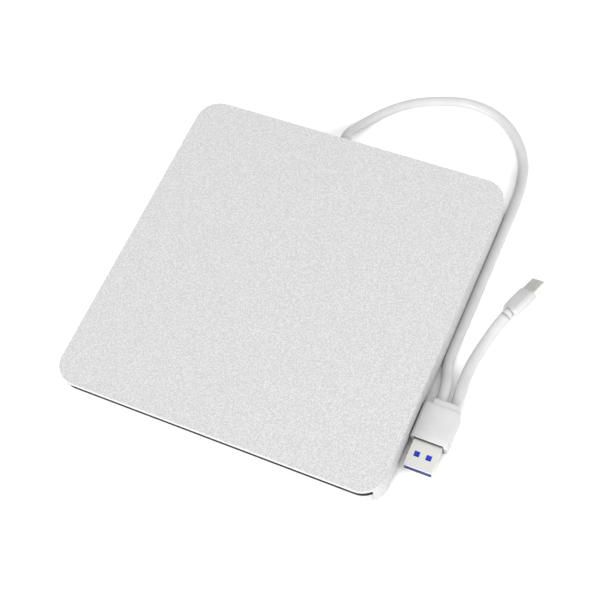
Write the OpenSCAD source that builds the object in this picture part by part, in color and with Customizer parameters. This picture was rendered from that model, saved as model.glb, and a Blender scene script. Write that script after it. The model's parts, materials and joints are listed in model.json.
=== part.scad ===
// External slot-loading optical drive with a short two-plug USB lead.
// Frame: millimetres, +X right, +Y to the back, +Z up. The origin is on the table under the
// middle of the case, and the disc slot faces -Y.

/* [Body] */
// Width of the case, left to right
body_w = 146; // [146:0.5:156]
// Depth of the case, front to back
body_d = 150; // [150:0.5:160]
// Height from the table to the top face
body_h = 16; // [16:0.25:20]
// Radius of the case's four upright corners
corner_r = 10; // [8:0.5:12]
// Thickness of the top plate
top_t = 1.2; // [0.8:0.1:1.2]
// Height of the rubber feet under the base
foot_h = 1; // [0.8:0.1:1.2]

/* [Disc slot] */
// Length of the disc slot along the front
slot_w = 140; // [124:1:140]
// Height of the slot's lower edge above the table
slot_z = 9.4; // [9.4:0.1:9.6]
// Height of the slot opening
slot_h = 4.4; // [4.2:0.1:4.4]
// How far the lip above the slot stands out over the wall below it
lip_step = 0.6; // [0.5:0.1:1.2]

/* [Mechanism] */
// Distance of the spindle in front of the middle of the case
spindle_y = 9; // [8:0.5:10]
// Direction in which the pickup travels, from +X
traverse_turn = 135; // [130:1:140]
// Angle by which the parked traverse hangs below level
traverse_tilt = 2; // [1:0.25:2]
// Radius of the laser lens from the spindle when the sled is parked
lens_r = 24.2; // [24:0.1:25]

/* [Cable] */
// Width of the two oval leads
cord_w = 4.6; // [4:0.1:5]
// Thickness of the two oval leads
cord_h = 3.2; // [2.6:0.1:3.6]

/* [Plugs] */
// Width of the USB-A plug's moulded grip
grip_w = 15.7; // [14:0.1:17]
// Length of the USB-A plug's moulded grip
grip_l = 16; // [14:0.5:20]
// Thickness of the USB-A plug's moulded grip
grip_h = 8; // [7:0.25:9]
// How far the USB-C plug is rolled over about its own axis
usb_c_roll = 32; // [0:1:60]

/* [Hidden] */
$fn = 48;

half_w = body_w / 2;
half_d = body_d / 2;
wall = 1.5;
front_wall = 2.6;
seam_z = foot_h + 2;
base_top = foot_h + 1.4;
post_top = seam_z + 2.2;
ceiling = body_h - top_t;
slot_top = slot_z + slot_h;
case_screw_places = [[-68.3, -62], [68.3, -62], [-66, 68], [66, 68]];
foot_places = [for (x = [-60, 60], y = [-60, 60]) [x, y]];

// Slim mechanism: a steel pan and lid, 128 mm wide and 126 mm deep
pan_x = 64;
pan_front = -71;
pan_back = 55;
sheet = 0.6;
pan_floor = base_top + 0.5;
pan_top = 13.5;
lid_z = 13.85;
ear_places = [for (x = [-66.8, 66.8], y = [-45, 40]) [x, y]];
ear_z = base_top + 2.6;

// Loading train in the channel beside the disc, in two planes
inner_plane = [60.7, 61.6];
outer_plane = [61.9, 62.8];
gear_gap = 0.15;
roller_at = [-66.5, 6.9];
idler_at = [-59.3, 8.7];
idler_r = 4.6;
roller_gear_r = norm(roller_at - idler_at) - idler_r - gear_gap;
reduction_small_r = 1.7;
reduction_big_r = 4.4;
reduction_at = idler_at + [idler_r + reduction_small_r + gear_gap, 0];
transfer_r = 3.2;
transfer_at = reduction_at + [reduction_small_r + transfer_r + gear_gap, 0];
rack_at = transfer_at + [2 * transfer_r + gear_gap, 0];
pinion_r = 1.3;
pinion_drop = 2.1;
pinion_gap = reduction_big_r + pinion_r + gear_gap;
pinion_at = reduction_at + [sqrt(pinion_gap * pinion_gap - pinion_drop * pinion_drop), -pinion_drop];
slider_travel = 10;
rack_top = rack_at[1] - transfer_r - gear_gap;

// Traverse, drawn level with its spindle at the local origin and its hinge at hinge_u
hinge_u = 60;
hinge_z = 7.6;
frame_z = [6.2, 9.2];
frame_u = [-19, 66];
frame_v = 22;
window_u = [13, 63];
window_v = 20.6;
rail_z = 7.6;
rod_v = [-12.8, 16];
rod_r = 1;
screw_v = -17.3;
screw_r = 1.2;
turntable_z = 9.8;
lift_pin_x = 61.75;
lift_pin_y = -5;
lift_pin_level = 8.3;

eject_at = [50, 49.5];
eject_z = 9.7;
eject_reach = 37;

gland_x = -7.5;
gland_z = 5.5;
gland_end = half_d + 6;

grip_x = 81.2;
grip_front = -43;
grip_back = grip_front + grip_l;
shell_w = 12;
shell_h = 4.5;
shell_out = 12;
neck_x = grip_x - 2.2;
neck_l = 2.7;
pigtail_x = grip_x + 4;
neck_side = 2.9;

usb_c_grip = [9.2, 4.2, 12.4];
usb_c_metal = [8.25, 2.4, 6.65];
collar_l = 2.4;
usb_c_turn = 20.6;
usb_c_axis_z = (usb_c_grip[0] - usb_c_grip[1]) / 2 * sin(usb_c_roll) + usb_c_grip[1] / 2 + 0.05;
usb_c_at = [90.1, 21.9, usb_c_axis_z];

// Centre line of the lead, from the gland to the USB-A plug, resting on the table
lead_rest = cord_h / 2 + 0.05;
lead_route = [
    [gland_x, gland_end, gland_z], [-7.4, 85, 5.2], [-6, 90, 3.4], [-2.8, 96, 2],
    [2, 102.6, lead_rest], [9, 109.4, lead_rest], [17, 114.4, lead_rest], [26, 118, lead_rest],
    [36, 120.4, lead_rest], [46, 119.8, lead_rest], [55, 116.4, lead_rest],
    [62.5, 110.6, lead_rest], [68.5, 103, lead_rest], [72.4, 94.6, lead_rest],
    [74.3, 85.4, lead_rest], [74.9, 76, lead_rest], [74.9, 64, lead_rest],
    [74.9, 51, lead_rest], [74.9, 38, lead_rest], [74.9, 25, lead_rest],
    [74.9, 12, lead_rest], [74.9, 2, lead_rest], [75.2, -4, 1.8], [76.2, -9, 2.2],
    [77.8, -14, 3.1], [78.8, -19, 3.8], [neck_x, grip_back + neck_l, 4]
];
// Centre line of the short lead between the two plugs
pigtail_route = [
    [pigtail_x, grip_back + neck_l, 4], [84.8, -17, 3.3], [84.2, -11, 2.2], [84.3, -4, lead_rest],
    [85.2, 3, lead_rest], [86.6, 10, 2.1], [88.2, 16.3, 3], usb_c_at
];

// ---- Shared shapes ----

module box(x, y, z) {
    translate([x[0], y[0], z[0]]) cube([x[1] - x[0], y[1] - y[0], z[1] - z[0]]);
}

module rounded_rect(w, d, r) {
    square([w - 2 * r, d], center = true);
    square([w, d - 2 * r], center = true);
    for (x = [-1, 1], y = [-1, 1])
        translate([x * (w / 2 - r), y * (d / 2 - r)]) circle(r);
}

module slab(w, d, r, z) {
    translate([0, 0, z[0]]) linear_extrude(z[1] - z[0]) rounded_rect(w, d, r);
}

module rod_x(x, y, z, r) {
    translate([x[0], y, z]) rotate([0, 90, 0]) cylinder(h = x[1] - x[0], r = r);
}

module rod_y(x, y, z, r) {
    translate([x, y[0], z]) rotate([-90, 0, 0]) cylinder(h = y[1] - y[0], r = r);
}

module rod_z(x, y, z, r) {
    translate([x, y, z[0]]) cylinder(h = z[1] - z[0], r = r);
}

// Outline of a spur gear whose tips stay inside radius r
module gear_outline(r, teeth, bore) {
    root = r - 0.35;
    pitch = 360 / teeth;
    difference() {
        polygon([
            for (i = [0 : teeth - 1], c = [[root, -0.3], [r, -0.14], [r, 0.14], [root, 0.3]])
                c[0] * [cos(pitch * (i + c[1])), sin(pitch * (i + c[1]))]
        ]);
        circle(bore);
    }
}

// Spur gear on an X axis, between the planes x[0] and x[1]
module gear_x(at, x, r, teeth, bore) {
    translate([x[0], at[0], at[1]]) rotate([90, 0, 90])
        linear_extrude(x[1] - x[0]) gear_outline(r, teeth, bore);
}

// Places its children, drawn level about the spindle, on the parked traverse
module on_traverse() {
    translate([0, -spindle_y, 0]) rotate(traverse_turn)
        translate([hinge_u, 0, hinge_z]) rotate([0, -traverse_tilt, 0])
            translate([-hinge_u, 0, -hinge_z]) children();
}

function unit(v) = v / norm(v);
function heading(path, i) = unit(path[min(i + 1, len(path) - 1)] - path[max(i - 1, 0)]);
function ring(at, along, w, h, sides) =
    let (side = unit(cross(along, [0, 0, 1])), up = cross(side, along))
    [for (k = [0 : sides - 1])
        let (a = 360 * (k + 0.5) / sides) at + side * cos(a) * w / 2 + up * sin(a) * h / 2];

// Oval tube swept along a path, with one ring at each of its points
module tube(path, w, h, sides) {
    last = len(path) - 1;
    points = [for (i = [0 : last]) each ring(path[i], heading(path, i), w, h, sides)];
    skin = [for (i = [0 : last - 1], k = [0 : sides - 1])
        let (next = (k + 1) % sides)
        [i * sides + k, i * sides + next, (i + 1) * sides + next, (i + 1) * sides + k]];
    start_cap = [[for (k = [sides - 1 : -1 : 0]) k]];
    end_cap = [[for (k = [0 : sides - 1]) last * sides + k]];
    polyhedron(points, concat(skin, start_cap, end_cap));
}

// ---- Case ----

module cavity(shrink, z) {
    translate([0, (front_wall - wall) / 2, 0])
        slab(body_w - 2 * wall - 2 * shrink, body_d - wall - front_wall - 2 * shrink,
             corner_r - wall - shrink, z);
}

module slot_reach(z) {
    box([-slot_w / 2, slot_w / 2], [-half_d - 1, -half_d + 4.6], z);
}

// Skin cut from the front wall below the slot, as far round the corners as the slot goes
module under_lip() {
    difference() {
        slot_reach([seam_z - 1, slot_z]);
        slab(body_w - 2 * lip_step, body_d - 2 * lip_step, corner_r - lip_step, [0, slot_z + 1]);
    }
}

module top_cover() {
    color("gainsboro") {
        difference() {
            slab(body_w, body_d, corner_r, [seam_z, body_h]);
            cavity(0, [seam_z - 1, ceiling]);
            slot_reach([slot_z, slot_top]);
            under_lip();
            rod_y(gland_x, [half_d - 3, half_d + 1], gland_z, 2.6);
            box([gland_x - 2.6, gland_x + 2.6], [half_d - 3, half_d + 1], [seam_z - 1, gland_z]);
        }
        for (p = case_screw_places) difference() {
            rod_z(p[0], p[1], [post_top, ceiling], 2.6);
            rod_z(p[0], p[1], [post_top - 1, post_top + 6], 1.02);
        }
    }
}

module base_cover() {
    post_r = 2.6;
    color("silver") difference() {
        union() {
            slab(body_w - 3.6, body_d - 3.6, corner_r - 1.8, [foot_h, foot_h + 0.8]);
            slab(body_w - 2, body_d - 2, corner_r - 1, [foot_h + 0.8, base_top]);
            difference() {
                slab(body_w - 2, body_d - 2, corner_r - 1, [base_top, seam_z]);
                cavity(1.2, [base_top - 1, seam_z + 1]);
            }
            difference() {
                cavity(0.2, [seam_z, seam_z + 2]);
                cavity(1.2, [seam_z - 1, seam_z + 3]);
            }
            for (p = case_screw_places) rod_z(p[0], p[1], [base_top, post_top], post_r);
            for (p = ear_places) rod_z(p[0], p[1], [base_top, ear_z], 2.2);
            for (x = [-36, 26], y = [60, 68.5]) rod_z(x, y, [base_top, base_top + 2], 1.8);
        }
        for (p = case_screw_places) {
            rod_z(p[0], p[1], [foot_h - 1, foot_h + 1.8], 1.9);
            rod_z(p[0], p[1], [foot_h, post_top + 1], 1.1);
        }
        for (p = ear_places) rod_z(p[0], p[1], [base_top, ear_z + 1], 1.02);
        for (p = foot_places) rod_z(p[0], p[1], [foot_h - 1, foot_h + 0.4], 4.6);
        // Seat of the cable gland's inner collar
        box([gland_x - 4.2, gland_x + 4.2], [half_d - 3.4, half_d - 1.6], [seam_z - 0.6, seam_z + 3]);
        box([gland_x - 2.7, gland_x + 2.7], [half_d - 2, half_d + 1], [gland_z - 2.6, seam_z + 3]);
    }
}

module rubber_feet() {
    color("dimgray") for (p = foot_places) rod_z(p[0], p[1], [0, foot_h + 0.4], 4.6);
}

module screw(p, z, head_r, length, up) {
    translate([p[0], p[1], z]) mirror([0, 0, up ? 0 : 1]) difference() {
        union() {
            translate([0, 0, -1.1]) cylinder(h = 1.1, r = head_r);
            cylinder(h = length, r = 1);
        }
        for (a = [0, 90]) rotate(a) translate([-1, -0.2, -1.2]) cube([2, 0.4, 0.8]);
    }
}

module case_screws() {
    color("darkgray") for (p = case_screw_places) screw(p, foot_h + 1.8, 1.8, 7, true);
}

module mech_screws() {
    color("darkgray") for (p = ear_places) screw(p, ear_z + sheet, 1.9, 2.6, false);
}

// ---- Mechanism frame ----

module mech_pan() {
    inner_x = pan_x - sheet;
    color("lightsteelblue") {
        difference() {
            box([-pan_x, pan_x], [pan_front, pan_back], [base_top, pan_top]);
            box([-inner_x, inner_x], [pan_front + sheet, pan_back - sheet], [pan_floor, pan_top + 1]);
            box([-inner_x, inner_x], [pan_front - 1, pan_front + 1], [slot_z - 0.8, pan_top + 1]);
            box([-21.5, -1.5], [pan_back - 1, pan_back + 1], [3.8, 8.4]);
            rod_x([-pan_x - 1, pan_x + 1], idler_at[0], idler_at[1], 1.05);
            for (a = [0 : 60 : 300])
                rod_z(48 * cos(a), -spindle_y + 48 * sin(a), [base_top - 1, pan_floor + 1], 3);
        }
        for (p = ear_places, side = sign(p[0])) difference() {
            union() {
                box([min(side * pan_x, p[0]), max(side * pan_x, p[0])], [p[1] - 2.2, p[1] + 2.2],
                    [ear_z, ear_z + sheet]);
                rod_z(p[0], p[1], [ear_z, ear_z + sheet], 2.2);
            }
            rod_z(p[0], p[1], [ear_z - 1, ear_z + 1], 1.1);
        }
        for (p = [[36, 4], [57, 4], [57, 42], [0, 42]])
            rod_z(p[0], p[1], [pan_floor, pan_floor + 1], 1.6);
        // Upright ears that carry the traverse's hinge pins
        translate([0, -spindle_y, 0]) rotate(traverse_turn) for (side = [-1, 1]) difference() {
            box([hinge_u - 2.2, hinge_u + 2.2],
                [side * (frame_v + 1.4) - 0.8, side * (frame_v + 1.4) + 0.8], [pan_floor, 9.3]);
            rod_y(hinge_u, [side * (frame_v + 1.4) - 1, side * (frame_v + 1.4) + 1], hinge_z, 0.86);
        }
    }
}

module mech_lid() {
    color("silver") {
        difference() {
            box([-pan_x - sheet, pan_x + sheet], [pan_front, pan_back + sheet], [lid_z, lid_z + 0.5]);
            rod_z(0, -spindle_y, [lid_z - 1, lid_z + 1], 10);
        }
        difference() {
            rod_z(0, -spindle_y, [lid_z + 0.5, lid_z + 0.8], 20);
            rod_z(0, -spindle_y, [lid_z, lid_z + 1], 14);
        }
        for (side = [-1, 1])
            box([side * (pan_x + sheet / 2) - 0.25, side * (pan_x + sheet / 2) + 0.25],
                [pan_front + 12, pan_back - 2], [11, lid_z]);
    }
}

module slot_felt() {
    felt_y = [-half_d + front_wall + 0.1, -half_d + front_wall + 1.2];
    color("black") for (z = [[slot_z - 1.2, slot_z - 0.1], [slot_top + 0.1, ceiling]])
        box([-60, 60], felt_y, z);
}

// ---- Electronics ----

module main_board() {
    z = pan_floor + 1;
    color("darkgreen") translate([0, 0, z]) linear_extrude(1)
        polygon([[34, 1], [60, 1], [60, 45], [-10, 45]]);
}

module main_board_chips() {
    z = pan_floor + 2;
    color("black") {
        box([38, 51], [12, 25], [z, z + 1.3]);
        box([28, 37], [30, 39], [z, z + 1.1]);
        box([42, 49], [30, 35], [z, z + 1]);
        for (x = [14 : 4 : 26]) box([x, x + 2], [41, 42.4], [z, z + 0.9]);
    }
}

module flex_connectors() {
    z = pan_floor + 2;
    color("ivory") {
        box([39, 55], [3, 6], [z, z + 1.6]);
        box([6, 20], [34, 37], [z, z + 1.6]);
        box([53, 56], [27, 41], [z, z + 1.6]);
    }
}

module bridge_board() {
    z = base_top + 2;
    color("darkgreen") difference() {
        box([-40, 30], [57, 70.6], [z, z + 1]);
        for (x = [-36, 26], y = [60, 68.5]) rod_z(x, y, [z - 1, z + 2], 1);
    }
}

module bridge_chips() {
    z = base_top + 3;
    color("black") {
        box([2, 9], [60, 67], [z, z + 1]);
        box([14, 18], [61, 64], [z, z + 1.2]);
        rod_z(-26, 66, [z, z + 3], 2);
        for (x = [-2, 21]) box([x - 1, x + 1], [66, 67.2], [z, z + 0.8]);
    }
}

module sata_connector() {
    color("dimgray") box([-21, -2], [pan_back - 5, pan_back + 1.9], [4.2, 8]);
}

// ---- Loading drive ----

module loading_motor() {
    color("silver") {
        rod_x([45, 60.3], pinion_at[0], pinion_at[1], 2.6);
        box([46, 58], [pinion_at[0] - 1.8, pinion_at[0] + 1.8], [pan_floor, pinion_at[1] - 2]);
    }
}

module gear_studs() {
    color("gray") {
        rod_x([60.5, pan_x - sheet], reduction_at[0], reduction_at[1], 0.75);
        for (at = [transfer_at, rack_at])
            rod_x([outer_plane[0] - 0.1, pan_x - sheet], at[0], at[1], 0.75);
    }
}

module motor_pinion() {
    color("gold") {
        gear_x(pinion_at, inner_plane, pinion_r, 9, 0.3);
        rod_x([60.35, inner_plane[1]], pinion_at[0], pinion_at[1], 0.4);
    }
}

module reduction_gear() {
    color("ivory") {
        gear_x(reduction_at, inner_plane, reduction_big_r, 30, 0.8);
        gear_x(reduction_at, [inner_plane[1], outer_plane[1]], reduction_small_r, 11, 0.8);
    }
}

module transfer_gear() {
    color("ivory") gear_x(transfer_at, outer_plane, transfer_r, 22, 0.8);
}

module rack_gear() {
    color("ivory") gear_x(rack_at, outer_plane, transfer_r, 22, 0.8);
}

module idler_gear() {
    color("ivory") gear_x(idler_at, outer_plane, idler_r, 32, 1.05);
}

module roller_arm() {
    ear_x = 58.6;
    dip = 4.2;
    color("lightgray") {
        box([-ear_x, ear_x], [idler_at[0] - 2.6, idler_at[0] + 1], [dip, dip + 0.8]);
        for (side = [-1, 1]) {
            difference() {
                box([side * ear_x - 0.6, side * ear_x + 0.6],
                    [roller_at[0] - 1.6, idler_at[0] + 1.6], [dip, 9.3]);
                rod_x([side * ear_x - 1, side * ear_x + 1], roller_at[0], roller_at[1], 1.05);
            }
            rod_x([side > 0 ? ear_x + 0.6 : -pan_x, side > 0 ? pan_x : -ear_x - 0.6],
                  idler_at[0], idler_at[1], 1);
        }
    }
}

module roller_shaft() {
    color("silver") rod_x([-59.6, outer_plane[1]], roller_at[0], roller_at[1], 1);
}

// Two rubber cones that are thinnest in the middle, so that a disc rides on its edges
module roller_sleeves() {
    color("dimgray") for (side = [0, 1]) mirror([side, 0, 0])
        translate([4, roller_at[0], roller_at[1]]) rotate([90, 0, 90]) rotate_extrude()
            polygon([[1, 0], [1.8, 0], [2.3, 50], [1, 50]]);
}

module roller_gear() {
    color("ivory") gear_x(roller_at, outer_plane, roller_gear_r, 16, 1);
}

module cam_slider() {
    front = transfer_at[0] - 4;
    step = rack_at[0] + transfer_r + 0.4;
    back = 24;
    low = pan_floor + 0.3;
    pin_z = lift_pin_z();
    rise = 2 * norm([lift_pin_u() - hinge_u, 0]) * sin(traverse_tilt / 2);
    color("whitesmoke") difference() {
        union() {
            box(outer_plane, [front, step], [low, rack_top]);
            box(outer_plane, [step, back], [low, 11.5]);
        }
        // Slanted slot that lifts the traverse's pin as the slider runs back
        translate([outer_plane[0] - 1, 0, 0]) rotate([90, 0, 90]) linear_extrude(3) hull() {
            translate([lift_pin_y + 0.6, pin_z - 0.1]) circle(1.15);
            translate([lift_pin_y - slider_travel - 0.6, pin_z + rise + 0.1]) circle(1.15);
        }
        for (y = [front + 0.5 : 0.8 : step - 1])
            box([60, 64], [y, y + 0.4], [rack_top - 0.4, rack_top + 1]);
    }
}

function lift_pin_u() =
    lift_pin_x * cos(traverse_turn) + (lift_pin_y + spindle_y) * sin(traverse_turn);
function lift_pin_z() = lift_pin_level + (lift_pin_u() - hinge_u) * sin(traverse_tilt);

// ---- Eject lever ----

module eject_lever() {
    color("lightgray") difference() {
        union() {
            rod_z(eject_at[0], eject_at[1], [eject_z, eject_z + 0.8], 3);
            box([eject_at[0] - eject_reach, eject_at[0]], [eject_at[1] - 1.2, eject_at[1] + 2.2],
                [eject_z, eject_z + 0.8]);
            rod_z(eject_at[0] - eject_reach, eject_at[1] + 0.5, [eject_z, eject_z + 2.4], 1);
        }
        rod_z(eject_at[0], eject_at[1], [eject_z - 1, eject_z + 2], 1.05);
    }
}

module eject_bumper() {
    color("dimgray") difference() {
        rod_z(eject_at[0] - eject_reach, eject_at[1] + 0.5, [eject_z + 0.8, eject_z + 3.2], 1.8);
        rod_z(eject_at[0] - eject_reach, eject_at[1] + 0.5, [eject_z, eject_z + 2.4], 1);
    }
}

module eject_pivot() {
    color("silver") {
        rod_z(eject_at[0], eject_at[1], [pan_floor, eject_z - 0.1], 2);
        rod_z(eject_at[0], eject_at[1], [eject_z - 0.1, eject_z + 1], 1);
        rod_z(eject_at[0], eject_at[1], [eject_z + 1, eject_z + 1.5], 1.8);
    }
}

module eject_spring() {
    turns = 3;
    steps = 30;
    path = [for (i = [0 : steps]) let (a = 360 * turns * i / steps)
        [eject_at[0] + 2.5 * cos(a), eject_at[1] + 2.5 * sin(a), 7 + 2.2 * i / steps]];
    color("gray") tube(path, 0.4, 0.4, 8);
}

// ---- Traverse, drawn level and then parked ----

module traverse_frame() {
    color("darkgray") {
        on_traverse() difference() {
            box(frame_u, [-frame_v, frame_v], frame_z);
            box(window_u, [-window_v, window_v], [frame_z[0] - 1, frame_z[1] + 1]);
            box([frame_u[0] - 1, window_u[0] + 1], [-window_v, -13.9], [frame_z[0] - 1, frame_z[1] + 1]);
            rod_z(0, 0, [frame_z[0] - 1, frame_z[1] + 1], 11.6);
            for (v = rod_v) rod_x([11, 65], v, rail_z, rod_r);
            rod_x([window_u[0], 65], screw_v, rail_z, 0.75);
        }
        // Arm that carries the lift pin out to the cam slider
        lift_arm();
    }
}

module lift_arm() {
    on_traverse() rotate(-traverse_turn) translate([0, spindle_y, 0]) {
        box([26, 60.4], [lift_pin_y - 2, lift_pin_y + 2], [lift_pin_level - 0.8, frame_z[1] - 0.2]);
        rod_x([60.4, 63.1], lift_pin_y, lift_pin_level, 0.8);
    }
}

module traverse_pins() {
    color("silver") on_traverse() for (s = [-1, 1])
        rod_y(hinge_u, s > 0 ? [frame_v, frame_v + 2.6] : [-frame_v - 2.6, -frame_v], hinge_z, 0.8);
}

module guide_rods() {
    color("silver") on_traverse() for (v = rod_v) rod_x([11, 65], v, rail_z, rod_r);
}

module stator_core() {
    color("sienna") on_traverse() {
        difference() {
            rod_z(0, 0, [5.7, 6.2], 11.4);
            rod_z(0, 0, [5, 7], 1.3);
        }
        difference() {
            rod_z(0, 0, [6.2, 7.8], 9.2);
            rod_z(0, 0, [5, 8], 3.2);
            for (a = [0 : 40 : 320]) rotate(a) box([4.6, 12], [-0.7, 0.7], [6.2, 8]);
        }
    }
}

module rotor_cup() {
    color("lightgray") on_traverse() difference() {
        union() {
            rod_z(0, 0, [6.5, turntable_z - 0.5], 11);
            rod_z(0, 0, [5.6, 7], 1.25);
        }
        difference() {
            rod_z(0, 0, [6, 8.2], 9.8);
            rod_z(0, 0, [5, 9], 2.8);
        }
    }
}

module turntable_pad() {
    color("black") on_traverse() difference() {
        rod_z(0, 0, [turntable_z - 0.5, turntable_z], 11);
        rod_z(0, 0, [turntable_z - 1, turntable_z + 1], 8.4);
    }
}

module clamp_hub() {
    color("gainsboro") on_traverse() difference() {
        union() {
            rod_z(0, 0, [turntable_z - 0.5, turntable_z + 1.1], 7.4);
            rod_z(0, 0, [turntable_z + 1.1, turntable_z + 1.4], 6.6);
        }
        rod_z(0, 0, [turntable_z + 0.8, turntable_z + 2], 2.4);
        for (a = [0 : 120 : 240]) rotate(a)
            translate([6.5, 0, turntable_z + 0.4]) sphere(1);
    }
}

module clamp_balls() {
    color("silver") on_traverse() for (a = [0 : 120 : 240]) rotate(a)
        translate([6.5, 0, turntable_z + 0.4]) sphere(0.85);
}

module sled_motor() {
    color("silver") on_traverse() {
        rod_x([-2, 11.6], screw_v, rail_z, 2.1);
        box([11.6, 12], [screw_v - 2.6, screw_v + 2.6], [frame_z[0] - 0.4, frame_z[1]]);
    }
}

module lead_screw() {
    grooves = [for (u = [14.6 : 1.6 : 61]) u];
    color("silver") on_traverse() difference() {
        union() {
            rod_x([13.6, 62.6], screw_v, rail_z, screw_r);
            rod_x([12.3, 64.9], screw_v, rail_z, 0.7);
        }
        for (u = grooves) difference() {
            rod_x([u, u + 0.5], screw_v, rail_z, screw_r + 1);
            rod_x([u - 1, u + 1], screw_v, rail_z, screw_r - 0.25);
        }
    }
}

// ---- Laser sled ----

module pickup_body() {
    u = [lens_r - 7.8, lens_r + 4.6];
    color("slategray") on_traverse() difference() {
        union() {
            box(u, [-10.8, 13], [5.6, frame_z[1] - 0.2]);
            box(u, [-14.6, -10.8], [6, frame_z[1]]);
            box([u[0], u[0] + 3], [13, 18], [6, frame_z[1]]);
        }
        rod_x([0, 40], rod_v[0], rail_z, rod_r + 0.05);
        rod_x([0, 40], rod_v[1], rail_z, rod_r + 0.05);
        box([lens_r - 3.6, lens_r + 3.6], [-8.6, 8.6], [6.6, frame_z[1] + 1]);
        rod_y(lens_r + 1.8, [12, 14], 7.2, 1.7);
    }
}

module drive_nut() {
    color("ivory") on_traverse() difference() {
        box([lens_r - 5, lens_r - 1], [-19.4, -14.6], [6.1, 8.9]);
        rod_x([0, 40], screw_v, rail_z, screw_r + 0.06);
    }
}

module actuator_magnets() {
    color("dimgray") on_traverse() for (side = [-1, 1])
        box([lens_r - 3, lens_r + 3], [side * 7.6 - 1, side * 7.6 + 1], [6.6, 8.8]);
}

module laser_diode() {
    color("goldenrod") on_traverse() rod_y(lens_r + 1.8, [12, 14.5], 7.2, 1.7);
}

module lens_holder() {
    color("black") on_traverse() difference() {
        box([lens_r - 2.9, lens_r + 2.9], [-5.8, 5.8], [7.4, 8.7]);
        rod_z(lens_r, 0, [7, 10], 2);
    }
}

module objective_lens() {
    color("lightblue") on_traverse() difference() {
        rod_z(lens_r, 0, [7.8, 9], 2);
        translate([lens_r, 0, 12.6]) sphere(4);
    }
}

// ---- Cable and plugs ----

module cable_gland() {
    inner_y = [half_d - wall - 1.3, half_d - wall - 0.1];
    outer_y = [half_d + 0.1, half_d + 1];
    color("gainsboro") {
        rod_y(gland_x, [inner_y[0], outer_y[1]], gland_z, 2.5);
        for (y = [inner_y, outer_y]) intersection() {
            rod_y(gland_x, y, gland_z, 3.9);
            box([-20, 20], [half_d - 5, half_d + 5], [gland_z - 2.4, gland_z + 5]);
        }
        translate([gland_x, outer_y[1], gland_z]) rotate([-90, 0, 0])
            cylinder(h = gland_end - outer_y[1], r1 = 3.2, r2 = 2.5);
    }
}

module main_cord() {
    color("gainsboro") tube(lead_route, cord_w, cord_h, 10);
}

module pigtail_cord() {
    color("gainsboro") tube(pigtail_route, cord_w, cord_h, 10);
}

module usb_a_housing() {
    mid = grip_h / 2;
    color("gainsboro") difference() {
        union() {
            translate([grip_x, (grip_front + grip_back) / 2, 0])
                slab(grip_w, grip_l, 2, [0, grip_h]);
            translate([(neck_x + pigtail_x) / 2, grip_back + neck_l / 2 - 1, 0])
                slab(pigtail_x - neck_x + 2 * neck_side, neck_l + 2, 0.9, [0.6, grip_h - 0.4]);
        }
        box([grip_x - shell_w / 2, grip_x + shell_w / 2], [grip_front - 1, grip_front + 6],
            [mid - shell_h / 2, mid + shell_h / 2]);
    }
}

module usb_a_shell() {
    skin = 0.3;
    x = [grip_x - shell_w / 2, grip_x + shell_w / 2];
    y = [grip_front - shell_out, grip_front + 6];
    z = [grip_h / 2 - shell_h / 2, grip_h / 2 + shell_h / 2];
    color("silver") difference() {
        box(x, y, z);
        box(x + [skin, -skin], y + [-1, -skin], z + [skin, -skin]);
        for (side = [-1, 1])
            box([grip_x + side * 2.5 - 1.15, grip_x + side * 2.5 + 1.15],
                [grip_front - 7.2, grip_front - 4.9], [z[1] - 1, z[1] + 1]);
    }
}

module usb_a_insulator() {
    top = grip_h / 2 + shell_h / 2 - 0.3;
    color("royalblue") box([grip_x - 5.6, grip_x + 5.6], [grip_front - shell_out + 0.3, grip_front + 5.6],
                           [top - 1.9, top]);
}

module usb_a_contacts() {
    top = grip_h / 2 + shell_h / 2 - 2.2;
    color("gold") for (x = [-3.5, -1, 1, 3.5])
        box([grip_x + x - 0.5, grip_x + x + 0.5], [grip_front - shell_out + 1.2, grip_front + 4],
            [top - 0.3, top]);
}

// Places its children, drawn along +Y, on the USB-C plug's axis
module on_usb_c() {
    translate(usb_c_at) rotate([0, 0, -usb_c_turn]) rotate([0, -usb_c_roll, 0]) children();
}

// Flat bar with half-round edges, along +Y
module stadium_bar(w, h, y) {
    translate([0, y[0], 0]) rotate([-90, 0, 0]) linear_extrude(y[1] - y[0]) {
        square([w - h, h], center = true);
        for (side = [-1, 1]) translate([side * (w - h) / 2, 0]) circle(h / 2);
    }
}

module usb_c_collar() {
    color("gainsboro") on_usb_c() {
        rod_y(0, [0.05, collar_l], 0, 2.3);
        rod_y(0, [0.7, 1.7], 0, 2.5);
    }
}

module usb_c_housing() {
    color("gainsboro") on_usb_c() difference() {
        stadium_bar(usb_c_grip[0], usb_c_grip[1], [collar_l, collar_l + usb_c_grip[2]]);
        stadium_bar(usb_c_metal[0], usb_c_metal[1], [collar_l + usb_c_grip[2] - 5, collar_l + 20]);
    }
}

module usb_c_shell() {
    start = collar_l + usb_c_grip[2] - 5;
    end = collar_l + usb_c_grip[2] + usb_c_metal[2];
    color("silver") on_usb_c() difference() {
        stadium_bar(usb_c_metal[0], usb_c_metal[1], [start, end]);
        stadium_bar(usb_c_metal[0] - 0.6, usb_c_metal[1] - 0.6, [start + 0.5, end + 1]);
    }
}

module usb_c_tongue() {
    start = collar_l + usb_c_grip[2] - 4.5;
    end = collar_l + usb_c_grip[2] + usb_c_metal[2] - 0.4;
    color("black") on_usb_c() difference() {
        stadium_bar(usb_c_metal[0] - 0.7, usb_c_metal[1] - 0.7, [start, end]);
        box([-3.2, 3.2], [end - 5.6, end + 1], [-0.4, 0.4]);
    }
}

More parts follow.
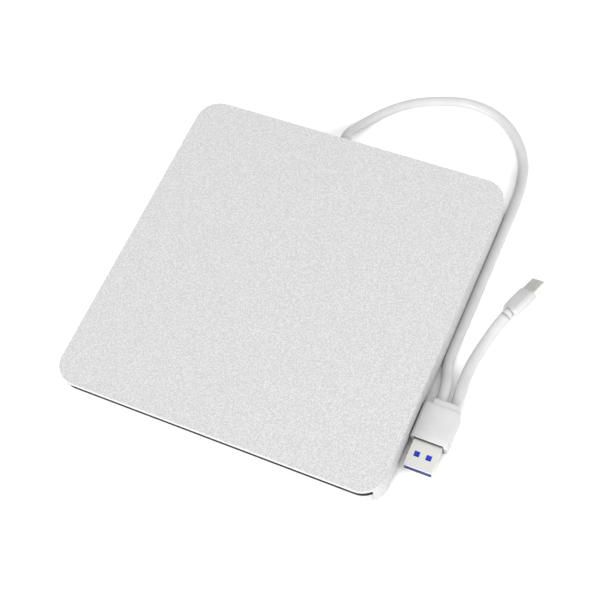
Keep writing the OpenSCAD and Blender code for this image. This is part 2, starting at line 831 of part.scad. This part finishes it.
top_cover();
base_cover();
rubber_feet();
case_screws();
mech_pan();
mech_lid();
mech_screws();
slot_felt();
main_board();
main_board_chips();
flex_connectors();
bridge_board();
bridge_chips();
sata_connector();
loading_motor();
gear_studs();
motor_pinion();
reduction_gear();
transfer_gear();
rack_gear();
idler_gear();
roller_arm();
roller_shaft();
roller_sleeves();
roller_gear();
cam_slider();
eject_lever();
eject_bumper();
eject_pivot();
eject_spring();
traverse_frame();
traverse_pins();
guide_rods();
stator_core();
sled_motor();
lead_screw();
rotor_cup();
turntable_pad();
clamp_hub();
clamp_balls();
pickup_body();
drive_nut();
actuator_magnets();
laser_diode();
lens_holder();
objective_lens();
cable_gland();
main_cord();
usb_a_housing();
usb_a_shell();
usb_a_insulator();
usb_a_contacts();
pigtail_cord();
usb_c_collar();
usb_c_housing();
usb_c_shell();
usb_c_tongue();
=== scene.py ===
"""Looks of the slot-loading optical drive and its two-plug lead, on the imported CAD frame."""

import json
import math

import bmesh
import bpy
from mathutils import Matrix, Vector


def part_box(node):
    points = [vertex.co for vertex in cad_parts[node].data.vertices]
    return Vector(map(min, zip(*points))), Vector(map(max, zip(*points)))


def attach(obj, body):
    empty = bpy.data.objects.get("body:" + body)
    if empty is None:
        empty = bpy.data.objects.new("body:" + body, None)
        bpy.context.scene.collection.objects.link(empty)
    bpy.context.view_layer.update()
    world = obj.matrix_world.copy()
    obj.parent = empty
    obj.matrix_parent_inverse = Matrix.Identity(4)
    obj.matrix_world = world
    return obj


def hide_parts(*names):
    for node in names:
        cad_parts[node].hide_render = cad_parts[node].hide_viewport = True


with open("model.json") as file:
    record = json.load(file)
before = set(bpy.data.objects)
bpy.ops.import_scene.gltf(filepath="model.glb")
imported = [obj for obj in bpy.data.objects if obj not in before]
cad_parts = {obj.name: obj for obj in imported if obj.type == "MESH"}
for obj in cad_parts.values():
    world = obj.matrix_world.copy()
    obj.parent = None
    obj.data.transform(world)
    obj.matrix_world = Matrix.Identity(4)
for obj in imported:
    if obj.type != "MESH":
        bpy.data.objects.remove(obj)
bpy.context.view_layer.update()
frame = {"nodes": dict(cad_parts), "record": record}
nodes = frame["nodes"]
MM = 0.001


def box_of(name):
    """Lowest and highest corner of a CAD node, as vectors."""
    low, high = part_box(name)
    return Vector(low), Vector(high)


# ---- Camera ----

PLATE_TOP = box_of("top_cover")[1].z
CAMERA_AZIMUTH = 36.69
CAMERA_ELEVATION = 60.75
CAMERA_ROLL = 14.5
CAMERA_DISTANCE = 0.5283
CAMERA_TARGET = Vector((0.0104, -0.0065, PLATE_TOP))
CAMERA_LENS = 76.26


def add_camera():
    az = math.radians(CAMERA_AZIMUTH)
    el = math.radians(CAMERA_ELEVATION)
    back = Vector((math.sin(az) * math.cos(el), -math.cos(az) * math.cos(el), math.sin(el)))
    level = back.to_track_quat("Z", "Y").to_matrix().to_4x4()
    roll = Matrix.Rotation(math.radians(-CAMERA_ROLL), 4, "Z")
    data = bpy.data.cameras.new("camera")
    data.lens = CAMERA_LENS
    data.sensor_width = 36
    data.clip_start = 0.01
    camera = bpy.data.objects.new("camera", data)
    camera.matrix_world = Matrix.Translation(CAMERA_TARGET + back * CAMERA_DISTANCE) @ level @ roll
    bpy.context.collection.objects.link(camera)
    bpy.context.scene.camera = camera


# ---- Materials ----

def socket_value(shader, name, value):
    if name in shader.inputs:
        shader.inputs[name].default_value = value


class Shade:
    """A Principled material built from noise in object space, in metres."""

    def __init__(self, name, colour, roughness, metallic=0.0, **sockets):
        self.material = bpy.data.materials.new(name)
        self.material.use_nodes = True
        self.tree = self.material.node_tree
        self.shader = self.tree.nodes["Principled BSDF"]
        self.colour = (*colour, 1.0)
        socket_value(self.shader, "Base Color", self.colour)
        socket_value(self.shader, "Roughness", roughness)
        socket_value(self.shader, "Metallic", metallic)
        for key, value in sockets.items():
            socket_value(self.shader, key.replace("_", " "), value)
        coordinates = self.tree.nodes.new("ShaderNodeTexCoord")
        self.mapping = self.tree.nodes.new("ShaderNodeMapping")
        self.tree.links.new(coordinates.outputs["Object"], self.mapping.inputs["Vector"])
        self.height = None

    def noise(self, cell_mm, detail=2.0, stretch=(1, 1, 1)):
        """Noise whose cells are about cell_mm across."""
        vector = self.mapping.outputs["Vector"]
        if stretch != (1, 1, 1):
            scaled = self.tree.nodes.new("ShaderNodeMapping")
            scaled.inputs["Scale"].default_value = stretch
            self.tree.links.new(vector, scaled.inputs["Vector"])
            vector = scaled.outputs["Vector"]
        texture = self.tree.nodes.new("ShaderNodeTexNoise")
        texture.inputs["Scale"].default_value = 1000 / cell_mm
        texture.inputs["Detail"].default_value = detail
        self.tree.links.new(vector, texture.inputs["Vector"])
        return texture.outputs["Fac"]

    def voronoi(self, cell_mm, feature="F1"):
        texture = self.tree.nodes.new("ShaderNodeTexVoronoi")
        texture.feature = feature
        texture.inputs["Scale"].default_value = 1000 / cell_mm
        self.tree.links.new(self.mapping.outputs["Vector"], texture.inputs["Vector"])
        return texture.outputs["Distance"]

    def ramp(self, factor, low, high, start, end):
        """factor's low to high range, mapped to start to end."""
        span = self.tree.nodes.new("ShaderNodeMapRange")
        for key, value in zip(("From Min", "From Max", "To Min", "To Max"), (low, high, start, end)):
            span.inputs[key].default_value = value
        self.tree.links.new(factor, span.inputs["Value"])
        return span.outputs["Result"]

    def tint(self, factor, other, low=0.35, high=0.65):
        """Blends the colour so far towards another where factor is high."""
        mix = self.tree.nodes.new("ShaderNodeMix")
        mix.data_type = "RGBA"
        self.tree.links.new(self.ramp(factor, low, high, 0, 1), mix.inputs["Factor"])
        source = self.shader.inputs["Base Color"]
        if source.is_linked:
            self.tree.links.new(source.links[0].from_socket, mix.inputs["A"])
        else:
            mix.inputs["A"].default_value = self.colour
        mix.inputs["B"].default_value = (*other, 1.0)
        self.tree.links.new(mix.outputs["Result"], source)
        return self

    def rough(self, factor, start, end, low=0.3, high=0.7):
        self.tree.links.new(self.ramp(factor, low, high, start, end), self.shader.inputs["Roughness"])
        return self

    def bump(self, factor, depth_mm, strength=1.0):
        """Adds a bump of about that depth to the ones so far."""
        node = self.tree.nodes.new("ShaderNodeBump")
        node.inputs["Distance"].default_value = depth_mm * MM
        node.inputs["Strength"].default_value = strength
        self.tree.links.new(factor, node.inputs["Height"])
        if self.height is not None:
            self.tree.links.new(self.height, node.inputs["Normal"])
        self.height = node.outputs["Normal"]
        self.tree.links.new(self.height, self.shader.inputs["Normal"])
        return self


def silver_shell():
    """Matt silver finish with a fine, even sparkle grain."""
    s = Shade("silver_shell", (0.355, 0.355, 0.358), 0.5, 0.1)
    s.tint(s.noise(0.52, 0), (0.475, 0.475, 0.478), 0.36, 0.64)
    s.tint(s.noise(0.8, 0), (0.385, 0.385, 0.387), 0.55, 0.8)
    s.rough(s.noise(0.8, 2), 0.42, 0.58)
    return s.bump(s.noise(0.5, 1), 0.02, 0.5).bump(s.noise(14, 2), 0.03, 0.15).material


def grey_base():
    s = Shade("grey_base", (0.37, 0.37, 0.375), 0.55)
    s.tint(s.noise(0.8, 2), (0.41, 0.41, 0.415))
    s.rough(s.noise(2, 2), 0.48, 0.62)
    return s.bump(s.noise(0.5, 2), 0.015, 0.5).material


def foot_rubber():
    s = Shade("foot_rubber", (0.045, 0.045, 0.048), 0.8)
    s.tint(s.noise(3, 3), (0.075, 0.075, 0.075))
    s.rough(s.noise(1.2, 2), 0.7, 0.9)
    return s.bump(s.noise(0.4, 3), 0.03, 0.6).material


def roller_rubber():
    s = Shade("roller_rubber", (0.02, 0.02, 0.02), 0.7)
    s.tint(s.noise(1.5, 3), (0.04, 0.04, 0.038))
    s.rough(s.noise(0.8, 2), 0.6, 0.85)
    return s.bump(s.noise(0.25, 2), 0.02, 0.6).material


def screw_steel():
    s = Shade("screw_steel", (0.42, 0.42, 0.43), 0.32, 1.0)
    s.tint(s.noise(1, 3), (0.5, 0.5, 0.5))
    s.rough(s.noise(0.6, 2), 0.25, 0.45)
    return s.bump(s.noise(0.2, 2), 0.005, 0.5).material


def sheet_steel():
    """Galvanised sheet with faint rolling lines and spangle."""
    s = Shade("sheet_steel", (0.50, 0.52, 0.53), 0.35, 1.0)
    s.tint(s.voronoi(5), (0.60, 0.61, 0.62), 0.2, 0.8)
    s.rough(s.noise(1.2, 3, (1, 12, 1)), 0.26, 0.46)
    return s.bump(s.noise(0.8, 2, (1, 14, 1)), 0.01, 0.4).material


def felt():
    s = Shade("felt", (0.012, 0.012, 0.012), 0.95, 0.0, Sheen_Weight=0.4)
    s.tint(s.noise(0.3, 4), (0.03, 0.03, 0.03))
    s.rough(s.noise(0.5, 2), 0.9, 1.0)
    return s.bump(s.noise(0.18, 4), 0.08, 1.0).material


def board():
    """Green solder mask with copper tracks just showing through."""
    s = Shade("board", (0.012, 0.12, 0.045), 0.3, 0.0, Coat_Weight=0.3)
    s.tint(s.voronoi(2.6, "DISTANCE_TO_EDGE"), (0.02, 0.2, 0.07), 0.0, 0.2)
    s.tint(s.noise(9, 2), (0.01, 0.09, 0.035))
    s.rough(s.noise(3, 2), 0.24, 0.38)
    return s.bump(s.voronoi(2.6, "DISTANCE_TO_EDGE"), 0.03, 0.4).material


def chip_black():
    s = Shade("chip_black", (0.018, 0.018, 0.019), 0.55)
    s.tint(s.noise(0.6, 3), (0.03, 0.03, 0.032))
    s.rough(s.noise(0.4, 2), 0.45, 0.65)
    return s.bump(s.noise(0.15, 2), 0.008, 0.6).material


def black_plastic():
    s = Shade("black_plastic", (0.02, 0.02, 0.021), 0.4)
    s.tint(s.noise(2, 3), (0.03, 0.03, 0.03))
    s.rough(s.noise(1, 2), 0.34, 0.5)
    return s.bump(s.noise(0.4, 2), 0.01, 0.5).material


def ivory_plastic():
    s = Shade("ivory_plastic", (0.74, 0.69, 0.56), 0.42, 0.0, Subsurface_Weight=0.05)
    s.tint(s.noise(3, 3), (0.78, 0.74, 0.62))
    s.rough(s.noise(1, 2), 0.36, 0.5)
    return s.bump(s.noise(0.5, 2), 0.01, 0.4).material


def gear_nylon():
    s = Shade("gear_nylon", (0.78, 0.76, 0.69), 0.45, 0.0, Subsurface_Weight=0.08)
    s.tint(s.noise(2, 3), (0.83, 0.82, 0.76))
    s.rough(s.noise(0.8, 2), 0.38, 0.54)
    return s.bump(s.noise(0.3, 2), 0.01, 0.4).material


def brass():
    s = Shade("brass", (0.62, 0.42, 0.14), 0.25, 1.0)
    s.tint(s.noise(1, 3), (0.7, 0.5, 0.2))
    s.rough(s.noise(0.6, 2), 0.2, 0.36)
    return s.bump(s.noise(0.3, 2), 0.005, 0.4).material


def steel_shaft():
    s = Shade("steel_shaft", (0.62, 0.62, 0.63), 0.14, 1.0)
    s.tint(s.noise(2, 3), (0.68, 0.68, 0.69))
    s.rough(s.noise(0.4, 3, (1, 1, 6)), 0.1, 0.22)
    return s.bump(s.noise(0.2, 2, (1, 1, 8)), 0.002, 0.4).material


def cast_alloy():
    s = Shade("cast_alloy", (0.33, 0.34, 0.35), 0.5, 0.9)
    s.tint(s.noise(1.2, 4), (0.4, 0.4, 0.41))
    s.rough(s.noise(0.7, 3), 0.4, 0.62)
    return s.bump(s.noise(0.35, 3), 0.02, 0.6).material


def copper_winding():
    s = Shade("copper_winding", (0.42, 0.16, 0.05), 0.3, 0.8, Coat_Weight=0.4)
    s.tint(s.noise(0.5, 2, (1, 1, 8)), (0.56, 0.25, 0.09))
    s.rough(s.noise(0.6, 2), 0.22, 0.4)
    return s.bump(s.noise(0.25, 1, (1, 1, 10)), 0.05, 0.7).material


def lens_glass():
    s = Shade("lens_glass", (0.55, 0.68, 0.9), 0.04, 0.0, Transmission_Weight=0.8, IOR=1.52, Coat_Weight=0.6)
    s.tint(s.noise(2, 2), (0.5, 0.6, 0.95))
    return s.rough(s.noise(1, 2), 0.02, 0.07).material


def cord_jacket():
    """Pale grey soft vinyl with a barely uneven extruded skin."""
    s = Shade("cord_jacket", (0.415, 0.415, 0.417), 0.5)
    s.tint(s.noise(6, 3), (0.44, 0.44, 0.442))
    s.rough(s.noise(2.2, 3), 0.42, 0.56)
    return s.bump(s.noise(0.5, 2), 0.006, 0.5).bump(s.noise(5, 2), 0.03, 0.25).material


def plug_grip():
    """Smooth moulded grip, a touch glossier than the lead."""
    s = Shade("plug_grip", (0.405, 0.405, 0.407), 0.5)
    s.tint(s.noise(5, 3), (0.425, 0.425, 0.427))
    s.rough(s.noise(1.6, 3), 0.35, 0.47)
    return s.bump(s.noise(0.35, 2), 0.006, 0.5).material


def plug_shell():
    """Nickel plate over drawn steel, with faint draw lines."""
    s = Shade("plug_shell", (0.53, 0.53, 0.51), 0.42, 1.0)
    s.tint(s.noise(0.7, 3, (3, 1, 1)), (0.59, 0.59, 0.57))
    s.rough(s.noise(0.5, 3, (5, 1, 1)), 0.38, 0.5)
    return s.bump(s.noise(0.3, 2, (6, 1, 1)), 0.006, 0.5).material


def usb_blue():
    s = Shade("usb_blue", (0.003, 0.012, 0.3), 0.45, 0.0, Specular_IOR_Level=0.25)
    s.tint(s.noise(1.5, 3), (0.006, 0.02, 0.36))
    s.rough(s.noise(0.8, 2), 0.3, 0.45)
    return s.bump(s.noise(0.3, 2), 0.006, 0.4).material


def gold_contact():
    s = Shade("gold_contact", (0.83, 0.58, 0.2), 0.2, 1.0)
    s.tint(s.noise(0.6, 3), (0.9, 0.67, 0.3))
    return s.rough(s.noise(0.4, 2), 0.14, 0.3).material


MATERIAL_MAKERS = (
    silver_shell, grey_base, foot_rubber, roller_rubber, screw_steel, sheet_steel, felt, board,
    chip_black, black_plastic, ivory_plastic, gear_nylon, brass, steel_shaft, cast_alloy,
    copper_winding, lens_glass, cord_jacket, plug_grip, plug_shell, usb_blue, gold_contact,
)
materials = {maker.__name__: maker() for maker in MATERIAL_MAKERS}


# ---- Mesh helpers ----

def add_mesh(name, points, faces, material):
    """Smooth-shaded object with its normals facing out."""
    mesh = bpy.data.meshes.new(name)
    mesh.from_pydata([tuple(p) for p in points], [], faces)
    mesh.update()
    edit = bmesh.new()
    edit.from_mesh(mesh)
    bmesh.ops.recalc_face_normals(edit, faces=edit.faces)
    edit.to_mesh(mesh)
    edit.free()
    mesh.polygons.foreach_set("use_smooth", [True] * len(mesh.polygons))
    mesh.materials.append(materials[material])
    piece = bpy.data.objects.new(name, mesh)
    bpy.context.collection.objects.link(piece)
    return piece


def add_skins(name, skins, material):
    """One object from several closed skins."""
    points, faces = [], []
    for rings in skins:
        skin_points, skin_faces = skin_rings(rings)
        start = len(points)
        points += skin_points
        faces += [tuple(start + i for i in face) for face in skin_faces]
    return add_mesh(name, points, faces, material)


def keep_edges(piece, angle=40):
    """Smooth shading that still breaks at creases sharper than the angle."""
    mesh = piece.data
    edit = bmesh.new()
    edit.from_mesh(mesh)
    for edge in edit.edges:
        if len(edge.link_faces) == 2 and edge.calc_face_angle() > math.radians(angle):
            edge.smooth = False
    edit.to_mesh(mesh)
    edit.free()
    return piece


def skin_rings(rings):
    """Points and faces of a closed skin over rings of equal length, capped at both ends."""
    count = len(rings[0])
    points = [p for ring in rings for p in ring]
    faces = []
    for i in range(len(rings) - 1):
        for k in range(count):
            after = (k + 1) % count
            a, b = i * count, (i + 1) * count
            faces.append((a + k, a + after, b + after, b + k))
    faces.append(tuple(range(count - 1, -1, -1)))
    faces.append(tuple(range((len(rings) - 1) * count, len(rings) * count)))
    return points, faces


def rounded_section(half_w, half_h, radius, steps=6):
    """Rounded rectangle about the origin, as (x, z) pairs."""
    radius = min(radius, half_w, half_h)
    section = []
    for turn, (sx, sz) in enumerate(((1, 1), (-1, 1), (-1, -1), (1, -1))):
        for k in range(steps + 1):
            angle = math.radians(90 * (turn + k / steps))
            section.append((sx * (half_w - radius) + radius * math.cos(angle),
                            sz * (half_h - radius) + radius * math.sin(angle)))
    return section


def catmull(p0, p1, p2, p3, t):
    return 0.5 * (2 * p1 + (p2 - p0) * t + (2 * p0 - 5 * p1 + 4 * p2 - p3) * t * t
                  + (3 * p1 - p0 - 3 * p2 + p3) * t * t * t)


def smooth_path(route, step=1.2 * MM):
    """Evenly spaced points on one smooth curve through the route's points."""
    dense = []
    for i in range(len(route) - 1):
        p0, p3 = route[max(i - 1, 0)], route[min(i + 2, len(route) - 1)]
        dense += [catmull(p0, route[i], route[i + 1], p3, k / 24) for k in range(24)]
    dense.append(route[-1])
    total = sum((b - a).length for a, b in zip(dense, dense[1:]))
    count = round(total / step)
    path, walked, i = [dense[0]], 0.0, 0
    for n in range(1, count):
        goal = total * n / count
        while walked + (dense[i + 1] - dense[i]).length < goal:
            walked += (dense[i + 1] - dense[i]).length
            i += 1
        leg = dense[i + 1] - dense[i]
        path.append(dense[i] + leg * ((goal - walked) / leg.length))
    return path + [dense[-1]]


def sweep(name, path, half_w, half_h, material, sides=28):
    """Oval tube along a path, with its wide axis level."""
    rings = []
    for i, at in enumerate(path):
        along = (path[min(i + 1, len(path) - 1)] - path[max(i - 1, 0)]).normalized()
        side = along.cross(Vector((0, 0, 1))).normalized()
        up = side.cross(along)
        ring = []
        for k in range(sides):
            a = 2 * math.pi * k / sides
            ring.append(at + side * (half_w * math.cos(a)) + up * (half_h * math.sin(a)))
        rings.append(ring)
    return add_mesh(name, *skin_rings(rings), material)


# ---- Leads ----

CORD_W = 4.6 * MM
CORD_H = 3.2 * MM
CORD_REST = 1.65
LEAD_ROUTE = [
    (-7.5, 81, 5.5), (-7.4, 85, 5.2), (-6, 90, 3.4), (-2.8, 96, 2), (2, 102.6, CORD_REST),
    (9, 109.4, CORD_REST), (17, 114.4, CORD_REST), (26, 118, CORD_REST), (36, 120.4, CORD_REST),
    (46, 119.8, CORD_REST), (55, 116.4, CORD_REST), (62.5, 110.6, CORD_REST), (68.5, 103, CORD_REST),
    (72.4, 94.6, CORD_REST), (74.3, 85.4, CORD_REST), (74.9, 76, CORD_REST), (74.9, 64, CORD_REST),
    (74.9, 51, CORD_REST), (74.9, 38, CORD_REST), (74.9, 25, CORD_REST), (74.9, 12, CORD_REST),
    (74.9, 2, CORD_REST), (75.2, -4, 1.8), (76.2, -9, 2.2), (77.8, -14, 3.1), (78.8, -19, 3.8),
    (79, -24.3, 4),
]
PIGTAIL_ROUTE = [
    (85.2, -24.3, 4), (84.8, -17, 3.3), (84.2, -11, 2.2), (84.3, -4, CORD_REST),
    (85.2, 3, CORD_REST), (86.6, 10, 2.1), (88.2, 16.3, 3), (90.1, 21.9, 3.475),
]


def in_metres(route):
    return [Vector(p) * MM for p in route]


def add_leads():
    path = smooth_path(in_metres(LEAD_ROUTE))
    lead = sweep("lead", path, CORD_W / 2, CORD_H / 2, "cord_jacket")
    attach(lead, "case")
    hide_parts("main_cord")
    short_path = smooth_path(in_metres(PIGTAIL_ROUTE))
    short = sweep("short_lead", short_path, CORD_W / 2, CORD_H / 2, "cord_jacket")
    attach(short, "case")
    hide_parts("pigtail_cord")


# ---- Moulded grips, collar and gland ----

GRIP_LOW, GRIP_HIGH = box_of("usb_a_housing")
SHELL_LOW, SHELL_HIGH = box_of("usb_a_shell")
GRIP_FRONT = GRIP_LOW.y
GRIP_LENGTH = 16
GRIP_BACK = GRIP_FRONT + GRIP_LENGTH * MM
NECK_SIDE = 2.9
GRIP_MID = (GRIP_LOW.z + GRIP_HIGH.z) / 2
GRIP_X = (GRIP_LOW.x + GRIP_HIGH.x) / 2
CIRCLE_SIDES = 28


def rounded_ring(x, y, z, half_w, half_h, radius):
    return [Vector((x + a, y, z + b)) for a, b in rounded_section(half_w, half_h, radius)]


def oval_ring(x, y, z, half_w, half_h):
    angles = [2 * math.pi * k / CIRCLE_SIDES for k in range(CIRCLE_SIDES)]
    return [Vector((x + half_w * math.cos(a), y, z + half_h * math.sin(a))) for a in angles]


def oval_skin(x, z, profile, start):
    """Rings from (distance, half width, half height) in mm, measured from start along +Y."""
    return [oval_ring(x, start + d * MM, z, w * MM, h * MM) for d, w, h in profile]


def add_usb_a_grip():
    """Moulded grip with a recess around the shell, its walls painted dark as painted shade, and one neck for
    both leads.
    """
    half_w = (GRIP_HIGH.x - GRIP_LOW.x) / 2
    half_h = (GRIP_HIGH.z - GRIP_LOW.z) / 2
    shell_w = (SHELL_HIGH.x - SHELL_LOW.x) / 2
    shell_h = (SHELL_HIGH.z - SHELL_LOW.z) / 2
    length = (GRIP_BACK - GRIP_FRONT) / MM
    side_gap, top_gap, recess_end = 0.25 * MM, 1.3 * MM, GRIP_FRONT + 1.2 * MM
    mouth_w, mouth_h = shell_w + side_gap, shell_h + top_gap
    body = [rounded_ring(GRIP_X, recess_end, GRIP_MID, shell_w - side_gap, shell_h - side_gap, 0.2 * MM),
            rounded_ring(GRIP_X, recess_end, GRIP_MID, mouth_w, mouth_h, 0.4 * MM),
            rounded_ring(GRIP_X, GRIP_FRONT, GRIP_MID, mouth_w, mouth_h, 0.4 * MM)]
    for along, inset in ((0, 0.15), (0.05, 0.05), (0.15, 0), (3, 0),
                         (length - 3, 0), (length - 1.4, 0), (length - 0.8, 0.1),
                         (length - 0.4, 0.32), (length - 0.12, 0.7), (length, 1.15)):
        flat = inset if along < 1 else 0.1 * inset
        body.append(rounded_ring(GRIP_X, GRIP_FRONT + along * MM, GRIP_MID,
                                 half_w - inset * MM, half_h - flat * MM, 1.5 * MM))
    neck_low, neck_high = LEAD_ROUTE[-1][0] - NECK_SIDE, PIGTAIL_ROUTE[0][0] + NECK_SIDE
    neck = [rounded_ring((neck_low + neck_high) / 2 * MM, GRIP_BACK + along * MM, GRIP_MID,
                         ((neck_high - neck_low) / 2 - inset) * MM, (3.85 - inset) * MM, 1.4 * MM)
            for along, inset in ((-2, 0), (1.9, 0), (2.3, 0.08), (2.55, 0.25), (2.7, 0.6))]
    grip = keep_edges(add_skins("usb_a_grip", [body, neck], "plug_grip"))
    # Painted shade: the recess walls take the dark foot_rubber material to darken the gap where shadow
    # falls.
    grip.data.materials.append(materials["foot_rubber"])
    shaded_recess_faces = 2 * len(body[0])
    for face in grip.data.polygons[:shaded_recess_faces]:
        face.material_index = 1
    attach(grip, "case")
    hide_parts("usb_a_housing")


USB_C_ROLL = 32
USB_C_GRIP = (9.2, 4.2, 12.4)
USB_C_COLLAR = 2.4
USB_C_TURN = 20.6


def on_usb_c(rings):
    """Rings drawn along +Y from the origin, moved to the USB-C plug's axis."""
    place = (Matrix.Translation(Vector(PIGTAIL_ROUTE[-1]) * MM)
             @ Matrix.Rotation(math.radians(-USB_C_TURN), 4, "Z")
             @ Matrix.Rotation(math.radians(-USB_C_ROLL), 4, "Y"))
    return [[place @ p for p in ring] for ring in rings]


def add_usb_c_parts():
    width, height, length = USB_C_GRIP
    rings = []
    for along, inset in ((0, 1.3), (0.1, 0.85), (0.35, 0.5), (0.8, 0.25), (1.6, 0.1), (3, 0), (6, -0.1),
                         (9, -0.04), (length - 1.1, 0.06), (length - 0.5, 0.16), (length - 0.15, 0.3),
                         (length, 0.42), (length, 0.6), (length - 0.3, 0.7)):
        rings.append(rounded_ring(0, (USB_C_COLLAR + along) * MM, 0, (width / 2 - inset) * MM,
                                  (height / 2 - inset) * MM, (height / 2 - inset) * 0.96 * MM))
    grip = keep_edges(add_skins("usb_c_grip", [on_usb_c(rings)], "plug_grip"), 50)
    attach(grip, "case")
    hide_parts("usb_c_housing")
    collar_rings = oval_skin(0, 0, (
        (0, 2.1, 2.1), (0.22, 2.1, 2.1), (0.26, 2.4, 2.4), (0.5, 2.5, 2.5), (1.9, 2.5, 2.5),
        (2.1, 2.4, 2.4), (2.14, 2.05, 2.05), (2.6, 2.05, 2.05)), 0)
    collar = keep_edges(add_skins("usb_c_collar_ring", [on_usb_c(collar_rings)], "plug_grip"))
    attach(collar, "case")
    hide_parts("usb_c_collar")


def add_gland():
    """Flanged grommet in the rear wall with a tapered, grooved strain relief."""
    low, high = box_of("cable_gland")
    x, z = LEAD_ROUTE[0][0] * MM, LEAD_ROUTE[0][2] * MM
    wall = box_of("top_cover")[1].y
    profile = [(-1.5, 2.5, 2.5), (0, 2.5, 2.5), (0.12, 3.7, 3.7), (0.3, 3.9, 3.9), (0.8, 3.85, 3.85),
               (1, 3.5, 3.5)]
    for rib in range(4):
        start, size = 1.05 + 1.18 * rib, 3.2 - 0.17 * rib
        profile += [(start, size - 0.35, size - 0.35), (start + 0.3, size - 0.35, size - 0.35),
                    (start + 0.38, size, size), (start + 1.05, size - 0.08, size - 0.12)]
    profile += [(5.85, 2.5, 2), (6, 2.35, 1.7)]
    rings = oval_skin(x, z, profile, wall)
    for ring in rings:
        for point in ring:
            point.z = max(point.z, low.z)
    gland = keep_edges(add_skins("strain_relief", [rings], "cord_jacket"))
    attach(gland, "case")
    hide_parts("cable_gland")


# ---- CAD nodes that keep their shape ----

SLOT_MATERIAL = {
    entry["node"]: entry["material_slot"] for entry in frame["record"]["subparts"]
}
EDGE_WIDTH = {
    "top_cover": 0.2, "base_cover": 0.4, "rubber_feet": 0.4, "usb_a_shell": 0.12,
    "usb_c_shell": 0.1,
}
SMALLEST_EDGE = 0.06


def paint_slot_shade(cover):
    """Paints the disc slot's cut faces with the black felt material as painted shade, darkening the gap
    where its shadow falls.
    """
    # Painted shade: the slot's cut faces carry black felt to stand in for the shadow inside the slot.
    cover.data.materials.append(materials["felt"])
    opening = next(m for m in frame["record"]["physics"]["openings"] if m["name"] == "disc_slot")
    low, high = (Vector(corner) for corner in opening["box_m"])
    front = box_of("top_cover")[0].y
    for face in cover.data.polygons:
        centre = face.center
        inside = front < centre.y < front + 5 * MM and low.z - 0.5 * MM < centre.z < high.z + 0.5 * MM
        if inside and abs(face.normal.y) < 0.5:
            face.material_index = 1


def finish_node(name, piece):
    """Gives a CAD node its material and softens its edges."""
    piece.data.materials.clear()
    piece.data.materials.append(materials[SLOT_MATERIAL[name]])
    if name == "top_cover":
        # The top cover's slot faces get painted shade.
        paint_slot_shade(piece)
    weld = piece.modifiers.new("weld", "WELD")
    weld.merge_threshold = 0.002 * MM
    bevel = piece.modifiers.new("edges", "BEVEL")
    bevel.width = EDGE_WIDTH.get(name, SMALLEST_EDGE) * MM
    bevel.segments = 3 if name in EDGE_WIDTH else 1
    bevel.limit_method = "ANGLE"
    bevel.angle_limit = math.radians(35)
    bevel.harden_normals = True
    normals = piece.modifiers.new("normals", "WEIGHTED_NORMAL")
    normals.keep_sharp = True


# ---- Stage ----

def add_stage():
    bpy.ops.mesh.primitive_plane_add(size=6, location=(0, 0, 0))
    floor = bpy.context.object
    floor.name = "floor"
    s = Shade("floor_paper", (0.95, 0.95, 0.95), 0.9)
    s.tint(s.noise(30, 2), (0.94, 0.94, 0.94))
    floor.data.materials.append(s.material)


def add_area_light(name, at, aim, size, power, colour=(1, 1, 1)):
    data = bpy.data.lights.new(name, "AREA")
    data.shape = "DISK"
    data.size = size
    data.energy = power
    data.color = colour
    lamp = bpy.data.objects.new(name, data)
    lamp.location = at
    lamp.rotation_euler = (Vector(aim) - Vector(at)).to_track_quat("-Z", "Y").to_euler()
    bpy.context.collection.objects.link(lamp)


def add_lights():
    world = bpy.data.worlds.new("studio")
    world.use_nodes = True
    world.node_tree.nodes["Background"].inputs["Color"].default_value = (1, 1, 1, 1)
    world.node_tree.nodes["Background"].inputs["Strength"].default_value = 0.9
    bpy.context.scene.world = world
    add_area_light("front", (-0.7, -2.6, 1.35), (0, 0, 0), 1.8, 122)
    add_area_light("top", (0.3, 0.6, 2.4), (0, 0, 0), 1.8, 10)
    add_area_light("right", (2.2, 0.1, 1.2), (0, 0, 0), 1.4, 32)
    bpy.context.scene.view_settings.view_transform = "Standard"


add_camera()
add_usb_a_grip()
add_usb_c_parts()
add_gland()
add_leads()
for node_name, node_object in nodes.items():
    if not node_object.hide_render:
        finish_node(node_name, node_object)
add_stage()
add_lights()
